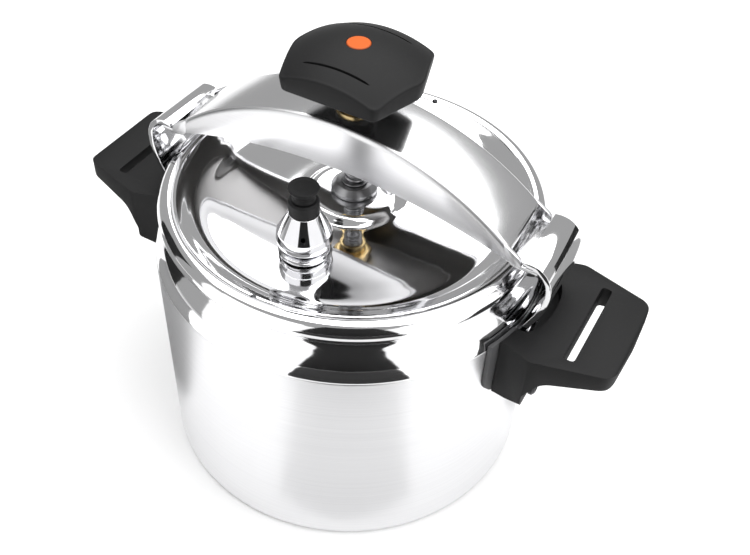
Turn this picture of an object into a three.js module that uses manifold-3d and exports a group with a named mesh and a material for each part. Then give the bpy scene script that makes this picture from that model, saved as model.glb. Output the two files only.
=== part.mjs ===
// Stovetop pressure cooker: spun pot, lid clamped by an arched bridge and a screw, two valves.
// Millimetres, +Z up, origin at the centre of the pot's underside, handles along X.
import * as THREE from 'three';
import { mergeVertices } from 'three/addons/utils/BufferGeometryUtils.js';
import Module from 'manifold-3d';

const wasm = await Module();
wasm.setup();

// Driving dimensions
const gap = 0.3;                 // running gap between touching pieces
const pot = { radius: 113, wall: 3, floor: 5, corner: 5, satinTop: 140.7, rimRadius: 102.2, rimTop: 167 };
const lid = { sheet: 2.4, skirtBottom: 165.2, outer: 108.8, crest: 176.8, floorZ: 168, plateauZ: 175.2 };
const valveOffset = 52;          // distance of both valves from the screw
const bridge = { halfWidth: 21.5, sheet: 2.5, crownZ: 231, arc: 158, hemZ: 203, hemArc: 320, endX: 109 };
const tongue = { innerX: 103, tipX: 117, halfWidth: 20, topZ: 185.4 };
const hook = { halfWidth: 22, footZ: 111 };
const handle = { topZ: 146, bottomZ: 104, faceX: 128, innerRadius: 116, halfWidth: 42, rootRound: 13 };
const handleSlot = { x: 145, width: 6, length: 60 };
const knob = { topZ: 268, bottomZ: 248, cornerX: 27.5, cornerY: 32, pointX: 37.5, domeRadius: 71, wall: 4 };
const groove = { inset: 10, halfLength: 19, width: 1.2, depth: 1 };
const badge = { radius: 6.2, thickness: 1.2 };
const hub = { radius: 10.6, bore: 5.2, bottomZ: 234.8, topZ: 256.7, pinZ: 243 };
const spindle = { radius: 6, core: 4.8, bottomZ: 178.3, threadBottom: 184, threadTop: 233.4, topZ: 254 };
const clip = { neck: 4.2, bottomZ: 181.9, topZ: 183 };
const bush = { shank: 8.4, bore: 6.3, hole: 8.8, flange: 10.6, bottomZ: 212, flangeZ: 231.4, topZ: 234.2 };
const bushNut = { radius: 13, bottomZ: 220, topZ: 227 };
const fitting = {
  shank: 5.8,
  hole: 6.3,
  bottomZ: 155,
  nut: 10,
  nutBottom: 158,
  nutTop: 162.9,
  washer: 11,
  seat: 14.8,
  washerTop: 165.2,
};
const bigRound = 40;             // sides of the pot, lid and gasket
const smallRound = 16;           // sides of turned fittings

// Metals and plastics
const finish = {
  satin: { color: 0xd9dadb, roughness: 0.38, metalness: 1 },
  polished: { color: 0xe6e7e8, roughness: 0.08, metalness: 1 },
  steel: { color: 0xc4c7ca, roughness: 0.25, metalness: 1 },
  brass: { color: 0xb8955a, roughness: 0.3, metalness: 1 },
  bakelite: { color: 0x1c1c1d, roughness: 0.5, metalness: 0 },
  orange: { color: 0xf0641e, roughness: 0.35, metalness: 0 },
  rubber: { color: 0x3b3b3d, roughness: 0.8, metalness: 0 },
  silicone: { color: 0xbfc3c4, roughness: 0.6, metalness: 0 },
};

const cooker = new THREE.Group();

// A geometry with shared corners, no empty triangles and its faces pointing out.
function tidyMesh(geometry) {
  geometry.deleteAttribute('normal');
  geometry.deleteAttribute('uv');
  const merged = mergeVertices(geometry, 1e-4);
  const place = merged.attributes.position;
  const source = merged.index.array;
  const kept = [];
  let volume = 0;
  const a = new THREE.Vector3();
  const b = new THREE.Vector3();
  const c = new THREE.Vector3();
  for (let i = 0; i < source.length; i += 3) {
    const [p, q, r] = [source[i], source[i + 1], source[i + 2]];
    if (p === q || q === r || r === p) continue;
    kept.push(p, q, r);
    a.fromBufferAttribute(place, p);
    b.fromBufferAttribute(place, q);
    c.fromBufferAttribute(place, r);
    volume += a.dot(b.cross(c));
  }
  if (volume < 0) kept.reverse();
  merged.setIndex(kept);
  return merged;
}

function toSolid(geometry) {
  const mesh = tidyMesh(geometry);
  const vertProperties = new Float32Array(mesh.attributes.position.array);
  const triVerts = new Uint32Array(mesh.index.array);
  return new wasm.Manifold(new wasm.Mesh({ numProp: 3, vertProperties, triVerts }));
}

function toGeometry(solid) {
  const mesh = solid.getMesh();
  const geometry = new THREE.BufferGeometry();
  geometry.setAttribute('position', new THREE.BufferAttribute(new Float32Array(mesh.vertProperties), 3));
  geometry.setIndex(new THREE.BufferAttribute(new Uint32Array(mesh.triVerts), 1));
  return geometry;
}

function addPiece(name, shape, look, x = 0, y = 0, z = 0) {
  const geometry = shape.isBufferGeometry ? tidyMesh(shape) : toGeometry(shape);
  geometry.computeVertexNormals();
  const piece = new THREE.Mesh(geometry, new THREE.MeshStandardMaterial(look));
  piece.name = name;
  piece.position.set(x, y, z);
  cooker.add(piece);
}

// A solid turned about Z from a profile of [radius, height] points.
function turned(profile, sides = smallRound) {
  const points = profile.map(([r, z]) => new THREE.Vector2(r, z));
  return new THREE.LatheGeometry(points, sides).rotateX(Math.PI / 2);
}

// A turned ring or tube: its profile closes on itself.
function turnedRing(profile, sides = smallRound) {
  return turned([...profile, profile[0]], sides);
}

function cylinder(radius, bottom, top, sides = smallRound) {
  return new THREE.CylinderGeometry(radius, radius, top - bottom, sides)
    .rotateX(Math.PI / 2)
    .translate(0, 0, (top + bottom) / 2);
}

// A rod lying along X.
function rodAlongX(radius, from, to, y, z, sides = 12) {
  return new THREE.CylinderGeometry(radius, radius, to - from, sides)
    .rotateZ(Math.PI / 2)
    .translate((from + to) / 2, y, z);
}

function box(x0, x1, y0, y1, z0, z1) {
  return new THREE.BoxGeometry(x1 - x0, y1 - y0, z1 - z0)
    .translate((x0 + x1) / 2, (y0 + y1) / 2, (z0 + z1) / 2);
}

// An outline in X and Z, drawn out to both sides along Y.
function acrossY(outline, halfWidth) {
  const shape = new THREE.Shape(outline.map(([x, z]) => new THREE.Vector2(x, z)));
  return new THREE.ExtrudeGeometry(shape, { depth: 2 * halfWidth, bevelEnabled: false })
    .rotateX(Math.PI / 2)
    .translate(0, halfWidth, 0);
}

// An outline in Y and Z, drawn out along X.
function alongX(shape, from, to, curveSegments = 5) {
  return new THREE.ExtrudeGeometry(shape, { depth: to - from, bevelEnabled: false, curveSegments })
    .rotateX(Math.PI / 2)
    .rotateZ(Math.PI / 2)
    .translate(from, 0, 0);
}

// A plan outline in X and Y, drawn up from bottom to top.
function upFrom(shape, bottom, top, curveSegments = 6) {
  return new THREE.ExtrudeGeometry(shape, { depth: top - bottom, bevelEnabled: false, curveSegments })
    .translate(0, 0, bottom);
}

function roundedOutline(corners, radii) {
  const shape = new THREE.Shape();
  const count = corners.length;
  for (let i = 0; i < count; i += 1) {
    const here = new THREE.Vector2(...corners[i]);
    const before = new THREE.Vector2(...corners[(i + count - 1) % count]);
    const after = new THREE.Vector2(...corners[(i + 1) % count]);
    before.sub(here).setLength(radii[i]).add(here);
    after.sub(here).setLength(radii[i]).add(here);
    if (i === 0) shape.moveTo(before.x, before.y);
    else shape.lineTo(before.x, before.y);
    shape.quadraticCurveTo(here.x, here.y, after.x, after.y);
  }
  shape.closePath();
  return shape;
}

// Points along an arc of a circle, from one angle to another, in degrees.
function arcPoints(centre, radius, from, to, steps) {
  return Array.from({ length: steps + 1 }, (_, i) => {
    const angle = THREE.MathUtils.degToRad(from + ((to - from) * i) / steps);
    return [centre[0] + radius * Math.cos(angle), centre[1] + radius * Math.sin(angle)];
  });
}

// ---- pot ----
const rivetPlaces = [-10, 10].flatMap((y) => [118, 132].map((z) => [y, z]));
const rivet = { shank: 2.3, hole: 2.7, head: 4.4, innerX: 106.4, outerX: 118.2 };

function potBody() {
  const { radius, wall, floor, corner, satinTop, rimRadius, rimTop } = pot;
  const outside = [
    [0, 0],
    ...arcPoints([radius - corner, corner], corner, -90, 0, 4),
    [radius, satinTop],
    [112.1, 145],
    [110.8, 149.2],
    [108.6, 153],
    [105.6, 156.6],
    [103.4, 159.2],
    [102.4, 162.5],
    [rimRadius, rimTop],
  ];
  const inside = [
    [rimRadius - wall, rimTop],
    [rimRadius - wall, 161],
    [100.6, 157.4],
    [103.3, 154.7],
    [106.1, 151.3],
    [108, 148],
    [109.4, 144.3],
    [radius - wall, satinTop],
    ...arcPoints([radius - wall - corner, floor + corner], corner, 0, -90, 3),
    [0, floor],
  ];
  let body = toSolid(turned([...outside, ...inside], bigRound));
  for (const side of [0, Math.PI]) {
    for (const [y, z] of rivetPlaces) {
      body = body.subtract(toSolid(rodAlongX(rivet.hole, 100, 120, y, z).rotateZ(side)));
    }
  }
  return body;
}

// ---- hooks on the pot's sides ----
function hookOutline() {
  const outer = [
    [116.3, hook.footZ],
    [116.3, 136],
    [117.2, 143],
    [120, 150],
    [123.6, 158],
    [126, 166],
    [126.9, 173.5],
    [126.1, 180.5],
    [123.2, 186.2],
    [118.8, 189.8],
    [113.8, 191],
    [109, 190.6],
  ];
  const inner = [
    [109.3, 187.7],
    [113.6, 188],
    [117.4, 186.9],
    [120.8, 184.2],
    [123.2, 179.8],
    [123.9, 173.6],
    [123, 166.8],
    [120.8, 159.3],
    [117.2, 151.2],
    [114.3, 144],
    [113.3, 136],
    [113.3, hook.footZ],
  ];
  return [...outer, ...inner];
}

function hookStrap() {
  let strap = toSolid(acrossY(hookOutline(), hook.halfWidth));
  for (const [y, z] of rivetPlaces) strap = strap.subtract(toSolid(rodAlongX(rivet.hole, 100, 120, y, z)));
  return strap;
}

function hookRivet(y, z) {
  return toSolid(rodAlongX(rivet.shank, rivet.innerX, rivet.outerX, y, z))
    .add(toSolid(rodAlongX(rivet.head, rivet.innerX, rivet.innerX + 2.2, y, z)))
    .add(toSolid(rodAlongX(rivet.head, rivet.outerX - 1.6, rivet.outerX, y, z)));
}

// ---- handles ----
const screwPlace = { y: 26, z: 111 };
const screw = { shank: 2.2, hole: 2.6, head: 5, headFrom: 128.3, headTo: 131.6, tip: 111.1 };

function handlePlan() {
  const corners = [
    [96, -36],
    [112, -37],
    [128, -42],
    [170, -31],
    [171.5, 0],
    [170, 31],
    [128, 42],
    [112, 37],
    [96, 36],
  ];
  return roundedOutline(corners, [1, 4, 6, 6, 12, 6, 6, 4, 1]);
}

function handleSide() {
  return [
    [90, handle.topZ],
    [90, handle.bottomZ],
    [122, handle.bottomZ],
    [handle.faceX - 1.2, 105.5],
    [handle.faceX, 109],
    [handle.faceX, 117],
    [130.5, 123],
    [135, 128.4],
    [142, 132.4],
    [152, 135],
    [167, 136.6],
    [171, 138.6],
    [172, 142],
    [171.4, 144.8],
    [169, handle.topZ],
  ];
}

// The root's outline against the pot, with its lower corners rounded.
function rootOutline(halfWidth, bottom, top) {
  const corners = [[-halfWidth, bottom], [halfWidth, bottom], [halfWidth, top], [-halfWidth, top]];
  return roundedOutline(corners, [handle.rootRound, handle.rootRound, 1, 1]);
}

function sideHandle() {
  const root = rootOutline(handle.halfWidth + 0.5, handle.bottomZ, handle.topZ + 5);
  let body = toSolid(upFrom(handlePlan(), handle.bottomZ - 1, handle.topZ + 1, 4))
    .intersect(toSolid(acrossY(handleSide(), 60)))
    .intersect(toSolid(alongX(root, 80, 200)));
  const slot = roundedOutline(
    [[-1, -1], [1, -1], [1, 1], [-1, 1]].map(([x, y]) =>
      [handleSlot.x + (x * handleSlot.width) / 2, (y * handleSlot.length) / 2]),
    [2, 2, 2, 2],
  );
  const recess = new THREE.Shape().absellipse(117, 0, 9, 23, -Math.PI / 2, Math.PI / 2, false);
  const cuts = [
    cylinder(handle.innerRadius, 90, 160, 72),
    box(100, 118.8, -22.6, 22.6, 90, 160),
    upFrom(slot, 120, 160, 3),
    upFrom(recess, 137, 160, 6),
    ...[-1, 1].map((side) => rodAlongX(screw.hole, 100, 140, side * screwPlace.y, screwPlace.z)),
  ];
  for (const cut of cuts) body = body.subtract(toSolid(cut));
  return body;
}

// The curved metal seat between the pot and the handle's root, open where the hook passes.
function handleSeat() {
  const ring = toSolid(turnedRing([
    [pot.radius + 0.4, handle.bottomZ + 0.4],
    [handle.innerRadius - 0.5, handle.bottomZ + 0.4],
    [handle.innerRadius - 0.5, handle.topZ - 1],
    [pot.radius + 0.4, handle.topZ - 1],
  ], 72));
  const root = rootOutline(handle.halfWidth, handle.bottomZ + 0.4, handle.topZ + 5);
  let seat = ring.intersect(toSolid(alongX(root, 100, 120)));
  seat = seat.subtract(toSolid(box(100, 120, -22.5, 22.5, hook.footZ - 0.5, 160)));
  for (const side of [-1, 1]) {
    seat = seat.subtract(toSolid(rodAlongX(screw.hole, 100, 120, side * screwPlace.y, screwPlace.z)));
  }
  return seat;
}

function handleScrew(y) {
  return toSolid(rodAlongX(screw.shank, screw.tip, screw.headTo, y, screwPlace.z))
    .add(toSolid(rodAlongX(screw.head, screw.headFrom, screw.headTo, y, screwPlace.z, 16)));
}

// ---- lid ----
const dripHole = { radius: 1.5, offset: 99.5 };
const seatZ = lid.floorZ + 1.4 + gap;     // where a fitting stands, in a flat spot face on the lid

function lidShell() {
  const { sheet, skirtBottom, outer, crest, floorZ, plateauZ } = lid;
  const top = [
    [0, plateauZ],
    [22, plateauZ - 0.1],
    [25.6, plateauZ - 1],
    [28.6, plateauZ - 3.6],
    [31.5, floorZ + 2.6],
    [42, floorZ + 2.1],
    [54, floorZ + 1.3],
    [66, floorZ + 0.5],
    [75, floorZ],
    [84, floorZ + 0.1],
    [91.5, floorZ + 3],
    [96, floorZ + 6.4],
    [99, crest - 0.7],
    [102.4, crest],
    [105.4, crest - 0.9],
    [107.4, crest - 2.6],
    [108.6, crest - 4.8],
    [outer, crest - 6.6],
    [108.4, crest - 8.8],
    [107, skirtBottom],
  ];
  const under = [
    [104.8, skirtBottom],
    [106, crest - 8.6],
    [106.4, crest - 6.4],
    [105.8, crest - 4.6],
    [104.4, crest - 3.1],
    [102.2, crest - sheet],
    [99.8, crest - 3],
    [92.8, floorZ + 0.9],
    [85.4, floorZ - sheet + 0.1],
    [75, floorZ - sheet],
    [53, floorZ - sheet + 1.3],
    [31, floorZ - sheet + 2.6],
    [27.4, plateauZ - 5.9],
    [24.2, plateauZ - 3.3],
    [0, plateauZ - sheet],
  ];
  let shell = toSolid(turned([...top, ...under], bigRound));
  for (const side of [-1, 1]) {
    const valveHole = cylinder(fitting.hole, 150, 190).translate(0, side * valveOffset, 0);
    const spotFace = cylinder(fitting.seat, seatZ - gap, 190, 24).translate(0, side * valveOffset, 0);
    const drip = cylinder(dripHole.radius, 150, 190, 10).translate(0, side * dripHole.offset, 0);
    for (const cut of [valveHole, spotFace, drip]) shell = shell.subtract(toSolid(cut));
  }
  return shell;
}

function lidGasket() {
  return turnedRing([
    [98.8, 167.6],
    [104, 167.4],
    [105.2, 168.4],
    [104.8, 170.2],
    [102.4, 172],
    [98.8, 170],
  ], bigRound);
}

// ---- working valve ----
function valveStem() {
  return turnedRing([
    [1.5, fitting.bottomZ],
    [fitting.shank, fitting.bottomZ],
    [fitting.shank, seatZ],
    [13.6, seatZ],
    [14.2, seatZ + 1.6],
    [13, seatZ + 3.6],
    [7, seatZ + 4.1],
    [5, seatZ + 5.5],
    [5, 190],
    [1.5, 190],
  ]);
}

function flatWasher() {
  return turnedRing([
    [fitting.shank + 0.4, fitting.nutTop + gap],
    [fitting.washer, fitting.nutTop + gap],
    [fitting.washer, fitting.washerTop],
    [fitting.shank + 0.4, fitting.washerTop],
  ]);
}

function hexNut(radius, bore, bottom, top) {
  return toSolid(cylinder(radius, bottom, top, 6)).subtract(toSolid(cylinder(bore, bottom - 1, top + 1)));
}

function fittingNut() {
  return hexNut(fitting.nut, fitting.shank + 0.4, fitting.nutBottom, fitting.nutTop);
}

function valveNeedle() {
  return turned([[0, 186.6], [1, 188.4], [1, 190.4], [2.6, 192], [2.6, 200.6], [0, 200.6]], 12);
}

function valveWeight() {
  let body = toSolid(turned([
    [0, 191.3],
    [7.4, 191.3],
    [7.4, 174.4],
    [11.8, 174.4],
    [14.3, 177],
    [15, 180.3],
    [14.6, 184],
    [8.4, 196.4],
    [0, 196.4],
  ]));
  body = body.subtract(toSolid(cylinder(2.9, 185, 200, 12)));
  for (const turn of [-0.3, 1.79, 3.89]) {
    body = body.subtract(toSolid(rodAlongX(1.3, 3, 20, 0, 187.5, 10).rotateZ(turn - Math.PI / 3)));
  }
  return body;
}

function valveCollar() {
  return turnedRing([[2.9, 196.7], [7.8, 196.7], [8, 198], [8, 203.6], [7.2, 204.6], [2.9, 204.6]]);
}

function valveCap() {
  return turned([
    [0, 201],
    [2.5, 201],
    [2.5, 204.9],
    [6.4, 204.9],
    [6.1, 206.8],
    [7.4, 210],
    [8.2, 211.6],
    [7.9, 212.8],
    [0, 213.1],
  ]);
}

// ---- safety valve ----
function safetyBody() {
  return turnedRing([
    [2.4, fitting.bottomZ],
    [fitting.shank, fitting.bottomZ],
    [fitting.shank, seatZ],
    [13, seatZ],
    [13, seatZ + 4.4],
    [9.6, seatZ + 5.4],
    [9.6, 204],
    [6.2, 204],
    [6.2, 178],
    [2.4, 176],
  ]);
}

function safetyPin() {
  return turned([[0, 174.5], [1.8, 176], [5.8, 179], [5.8, 182], [1.8, 182.2], [1.8, 214], [0, 215]]);
}

function safetyCap() {
  return turnedRing([
    [2.2, 201.6],
    [5.8, 201.6],
    [5.8, 204.3],
    [10, 204.3],
    [10, 209.4],
    [8.4, 211.6],
    [2.2, 211.6],
  ]);
}

function safetySpring() {
  const turns = 4;
  const steps = 8;
  const radius = 4;
  const [bottomZ, rise] = [183.2, 17];
  const points = Array.from({ length: turns * steps + 1 }, (_, i) => {
    const angle = (i / steps) * Math.PI * 2;
    const z = bottomZ + (i * rise) / (turns * steps);
    return new THREE.Vector3(radius * Math.cos(angle), radius * Math.sin(angle), z);
  });
  const wire = new THREE.Shape(arcPoints([0, 0], 0.7, 0, 300, 5).map(([x, y]) => new THREE.Vector2(x, y)));
  return new THREE.ExtrudeGeometry(wire, {
    steps: turns * steps,
    extrudePath: new THREE.CatmullRomCurve3(points),
    bevelEnabled: false,
  });
}

// ---- bridge and screw ----
function archZ(x, crown, radius) {
  return crown - radius + Math.sqrt(radius * radius - x * x);
}

function archOutline(crown, radius, endX, steps) {
  return Array.from({ length: steps + 1 }, (_, i) => {
    const x = endX - (2 * endX * i) / steps;
    return [x, archZ(x, crown, radius)];
  });
}

function bridgeArch() {
  const { halfWidth, sheet, crownZ, arc, hemZ, hemArc, endX } = bridge;
  const hem = archOutline(hemZ, hemArc, endX - 2, 8).reverse();
  const end = [[endX, 186.6], [endX - 1, 190.6], [endX - 5, 194]];
  const flipped = end.map(([x, z]) => [-x, z]).reverse();
  const outline = [...hem, ...end, ...archOutline(crownZ, arc, 99, 22), ...flipped];
  const ceiling = archOutline(crownZ - sheet, arc - sheet, 98, 20);
  const hollow = [[-104, 160], [104, 160], [104, 190], ...ceiling, [-104, 190]];
  let body = toSolid(acrossY(outline, halfWidth)).subtract(toSolid(acrossY(hollow, halfWidth - sheet)));
  const { innerX, tipX, topZ } = tongue;
  for (const side of [0, Math.PI]) {
    const plate = box(innerX, tipX, -tongue.halfWidth, tongue.halfWidth, topZ - sheet, topZ);
    const clearance = box(endX - 3.4, endX + 4, -30, 30, topZ, 200);
    body = body.subtract(toSolid(clearance.rotateZ(side))).add(toSolid(plate.rotateZ(side)));
  }
  return body.subtract(toSolid(cylinder(bush.hole, 215, 240)));
}

function bridgeBush() {
  return turnedRing([
    [bush.bore, bush.bottomZ],
    [bush.shank, bush.bottomZ],
    [bush.shank, bush.flangeZ],
    [bush.flange, bush.flangeZ],
    [bush.flange, bush.topZ - 0.8],
    [bush.flange - 0.8, bush.topZ],
    [bush.bore, bush.topZ],
  ]);
}

function spindleRod() {
  const { radius, core, bottomZ, threadBottom, threadTop, topZ } = spindle;
  return turned([
    [0, bottomZ],
    [core, bottomZ],
    [core, clip.bottomZ],
    [clip.neck, clip.bottomZ],
    [clip.neck, clip.topZ],
    [core, clip.topZ],
    [core, threadBottom],
    [radius, threadBottom + 1],
    [radius, threadTop],
    [core, threadTop + 1],
    [core, topZ],
    [0, topZ],
  ]);
}

function spindleFoot() {
  const [radius, bottomZ, topZ] = [13, 175.5, 181.6];
  const socket = { radius: spindle.core + gap, bottomZ: 178 };
  return turned([
    [0, bottomZ],
    [radius - 0.6, bottomZ],
    [radius, bottomZ + 0.9],
    [radius, bottomZ + 2.9],
    [radius - 3, topZ],
    [socket.radius, topZ],
    [socket.radius, socket.bottomZ],
    [0, socket.bottomZ],
  ]);
}

function footClip() {
  const [inner, outer] = [clip.neck + gap, 7.4];
  const [bottom, top] = [clip.bottomZ + 0.1, clip.topZ - 0.1];
  return turnedRing([[inner, bottom], [outer, bottom], [outer, top], [inner, top]]);
}

// ---- knob ----
function knobPlan(inset) {
  const { cornerX, cornerY, pointX } = knob;
  const corners = [
    [pointX - inset, 0],
    [cornerX - inset, cornerY - inset],
    [inset - cornerX, cornerY - inset],
    [inset - pointX, 0],
    [inset - cornerX, inset - cornerY],
    [cornerX - inset, inset - cornerY],
  ];
  return roundedOutline(corners, [10, 5, 5, 10, 5, 5]);
}

function domeCut(drop) {
  return toSolid(new THREE.SphereGeometry(knob.domeRadius - drop, 40, 32)
    .rotateX(Math.PI / 2)
    .translate(0, 0, knob.topZ - knob.domeRadius));
}

function knobBody() {
  const { topZ, bottomZ, cornerY, wall } = knob;
  const hollow = toSolid(upFrom(knobPlan(wall), bottomZ - 1, topZ)).intersect(domeCut(wall));
  const boss = cylinder(hub.radius + 2.8, bottomZ + 0.5, topZ - 2);
  let body = toSolid(upFrom(knobPlan(0), bottomZ, topZ + 1)).intersect(domeCut(0)).subtract(hollow);
  body = body.add(toSolid(boss)).subtract(toSolid(cylinder(hub.radius + gap, bottomZ - 2, hub.topZ + gap)));
  body = body.subtract(toSolid(cylinder(badge.radius + 0.4, topZ - badge.thickness - gap, topZ + 2)));
  for (const side of [-1, 1]) {
    const y = side * (cornerY - groove.inset);
    const half = groove.width / 2;
    const blade = box(-groove.halfLength, groove.halfLength, y - half, y + half, topZ - 20, topZ + 5);
    body = body.subtract(toSolid(blade).subtract(domeCut(groove.depth)));
  }
  return body;
}

const knobPinSize = { radius: 1.8, innerX: 5.1, outerX: 9.6 };

function knobHub() {
  const { radius, bore, bottomZ, topZ, pinZ } = hub;
  const body = turned([
    [0, topZ],
    [radius, topZ],
    [radius, bottomZ + 3],
    [radius - 1, bottomZ],
    [bore, bottomZ],
    [bore, spindle.topZ + 0.4],
    [0, spindle.topZ + 0.4],
  ]);
  return toSolid(body).subtract(toSolid(rodAlongX(knobPinSize.radius + gap, 3, 12, 0, pinZ)));
}

function knobPin() {
  return rodAlongX(knobPinSize.radius, knobPinSize.innerX, knobPinSize.outerX, 0, hub.pinZ);
}

function knobBadge() {
  const { radius, thickness } = badge;
  return turned([
    [0, knob.topZ - thickness],
    [radius, knob.topZ - thickness],
    [radius, knob.topZ - 0.1],
    [radius - 0.6, knob.topZ],
    [0, knob.topZ],
  ]);
}

// ---- assembly ----
addPiece('pot_body', potBody(), finish.satin);
for (const [side, turn] of [['right', 0], ['left', 180]]) {
  const addTurned = (name, solid, look) => addPiece(name, solid.rotate([0, 0, turn]), look);
  addTurned(`hook_${side}`, hookStrap(), finish.polished);
  addTurned(`handle_${side}`, sideHandle(), finish.bakelite);
  addTurned(`handle_seat_${side}`, handleSeat(), finish.rubber);
  rivetPlaces.forEach(([y, z], i) => {
    addTurned(`hook_rivet_${side}_${i + 1}`, hookRivet(y, z), finish.steel);
  });
  [-1, 1].forEach((way, i) => {
    addTurned(`handle_screw_${side}_${i + 1}`, handleScrew(way * screwPlace.y), finish.steel);
  });
}
addPiece('lid_shell', lidShell(), finish.polished);
addPiece('lid_gasket', lidGasket(), finish.silicone);
addPiece('valve_stem', valveStem(), finish.polished, 0, -valveOffset);
addPiece('valve_stem_washer', flatWasher(), finish.silicone, 0, -valveOffset);
addPiece('valve_stem_nut', fittingNut(), finish.steel, 0, -valveOffset);
addPiece('valve_needle', valveNeedle(), finish.steel, 0, -valveOffset);
addPiece('valve_weight', valveWeight(), finish.polished, 0, -valveOffset);
addPiece('valve_collar', valveCollar(), finish.bakelite, 0, -valveOffset);
addPiece('valve_cap', valveCap(), finish.bakelite, 0, -valveOffset);
addPiece('safety_body', safetyBody(), finish.polished, 0, valveOffset);
addPiece('safety_washer', flatWasher(), finish.silicone, 0, valveOffset);
addPiece('safety_nut', fittingNut(), finish.steel, 0, valveOffset);
addPiece('safety_pin', safetyPin(), finish.steel, 0, valveOffset);
addPiece('safety_spring', safetySpring(), finish.steel, 0, valveOffset);
addPiece('safety_cap', safetyCap(), finish.polished, 0, valveOffset);
addPiece('bridge', bridgeArch(), finish.satin);
addPiece('bridge_bush', bridgeBush(), finish.brass);
addPiece('bridge_bush_nut', hexNut(bushNut.radius, bush.hole, bushNut.bottomZ, bushNut.topZ), finish.brass);
addPiece('spindle', spindleRod(), finish.steel);
addPiece('spindle_foot', spindleFoot(), finish.steel);
addPiece('spindle_foot_clip', footClip(), finish.steel);
addPiece('knob_body', knobBody(), finish.bakelite);
addPiece('knob_badge', knobBadge(), finish.orange);
addPiece('knob_hub', knobHub(), finish.bakelite);
addPiece('knob_pin', knobPin(), finish.steel);

export default cooker;
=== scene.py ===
import math

import bmesh
import bpy
from mathutils import Matrix, Vector


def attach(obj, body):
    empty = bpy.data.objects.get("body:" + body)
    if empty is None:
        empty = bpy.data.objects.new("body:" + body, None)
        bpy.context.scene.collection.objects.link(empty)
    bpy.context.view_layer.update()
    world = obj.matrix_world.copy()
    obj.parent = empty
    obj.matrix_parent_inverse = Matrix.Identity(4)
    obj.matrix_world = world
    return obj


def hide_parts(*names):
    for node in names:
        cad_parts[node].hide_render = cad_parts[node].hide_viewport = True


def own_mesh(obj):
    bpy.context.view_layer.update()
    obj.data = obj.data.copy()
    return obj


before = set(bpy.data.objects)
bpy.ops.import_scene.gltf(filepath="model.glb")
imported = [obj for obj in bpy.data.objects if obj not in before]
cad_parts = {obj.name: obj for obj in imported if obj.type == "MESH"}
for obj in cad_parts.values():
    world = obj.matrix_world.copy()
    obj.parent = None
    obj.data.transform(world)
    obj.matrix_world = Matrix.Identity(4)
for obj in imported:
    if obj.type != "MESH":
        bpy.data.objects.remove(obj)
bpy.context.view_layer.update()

scene = bpy.context.scene
scene.view_settings.view_transform = "Standard"
milli = 0.001  # sizes below are in millimetres, meshes in metres


class Signal:
    # A socket that can be used in a Python expression; each operator adds one Math node.
    def __init__(self, shader, socket):
        self.shader = shader
        self.socket = socket

    def combine(self, operation, first, second=0.0, third=0.0):
        values = {0: first, 1: second, 2: third}
        return self.shader.add("ShaderNodeMath", {"operation": operation}, values)["Value"]

    def __add__(self, other):
        return self.combine("ADD", self, other)

    def __radd__(self, other):
        return self.combine("ADD", other, self)

    def __sub__(self, other):
        return self.combine("SUBTRACT", self, other)

    def __rsub__(self, other):
        return self.combine("SUBTRACT", other, self)

    def __mul__(self, other):
        return self.combine("MULTIPLY", self, other)

    def __rmul__(self, other):
        return self.combine("MULTIPLY", other, self)

    def __pow__(self, other):
        return self.combine("POWER", self, other)

    def __rpow__(self, other):
        return self.combine("POWER", other, self)

    def above(self, edge, soft):
        # 0 below the edge, 1 above it, with a soft step between.
        return self.shader.add("ShaderNodeMapRange", {"interpolation_type": "SMOOTHSTEP"},
                               {"Value": self, "From Min": edge - soft, "From Max": edge + soft})["Result"]


class Outputs:
    # The output sockets of one node, by name.
    def __init__(self, shader, node):
        self.shader = shader
        self.node = node

    def __getitem__(self, name):
        return Signal(self.shader, self.node.outputs[name])


class Shader:
    # A material and the nodes that feed its surface.
    def __init__(self, name):
        self.material = bpy.data.materials.new(name)
        self.material.use_nodes = True
        self.tree = self.material.node_tree
        self.surface = self.tree.nodes["Principled BSDF"]
        self.place = self.add("ShaderNodeTexCoord", {}, {})["Object"]

    def add(self, kind, settings, values):
        node = self.tree.nodes.new(kind)
        for key, value in settings.items():
            setattr(node, key, value)
        for key, value in values.items():
            self.feed(node.inputs[key], value)
        return Outputs(self, node)

    def feed(self, socket, value):
        if isinstance(value, Signal):
            self.tree.links.new(value.socket, socket)
        else:
            socket.default_value = value

    def set(self, **values):
        for key, value in values.items():
            self.feed(self.surface.inputs[key.replace("_", " ")], value)

    def split(self):
        parts = self.add("ShaderNodeSeparateXYZ", {}, {"Vector": self.place})
        return parts["X"], parts["Y"], parts["Z"]

    def vector(self, x, y, z):
        return self.add("ShaderNodeCombineXYZ", {}, {"X": x, "Y": y, "Z": z})["Vector"]

    def noise(self, vector, scale, detail=2.0, roughness=0.5):
        values = {"Vector": vector, "Scale": scale, "Detail": detail, "Roughness": roughness}
        return self.add("ShaderNodeTexNoise", {}, values)["Fac"]

    def blend(self, factor, first, second):
        # Mixes two colours; 6, 7 and 2 are the node's colour sockets.
        values = {"Factor": factor, 6: first, 7: second}
        return self.add("ShaderNodeMix", {"data_type": "RGBA"}, values)[2]

    def bump(self, height, strength, distance):
        values = {"Height": height, "Strength": strength, "Distance": distance}
        return self.add("ShaderNodeBump", {}, values)["Normal"]


def around(shader):
    # Angle and radius about the pot's axis, for marks that run round it.
    x, y, z = shader.split()
    angle = x.combine("ARCTAN2", y, x)
    radius = (x * x + y * y) ** 0.5
    return angle, radius, z


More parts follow.
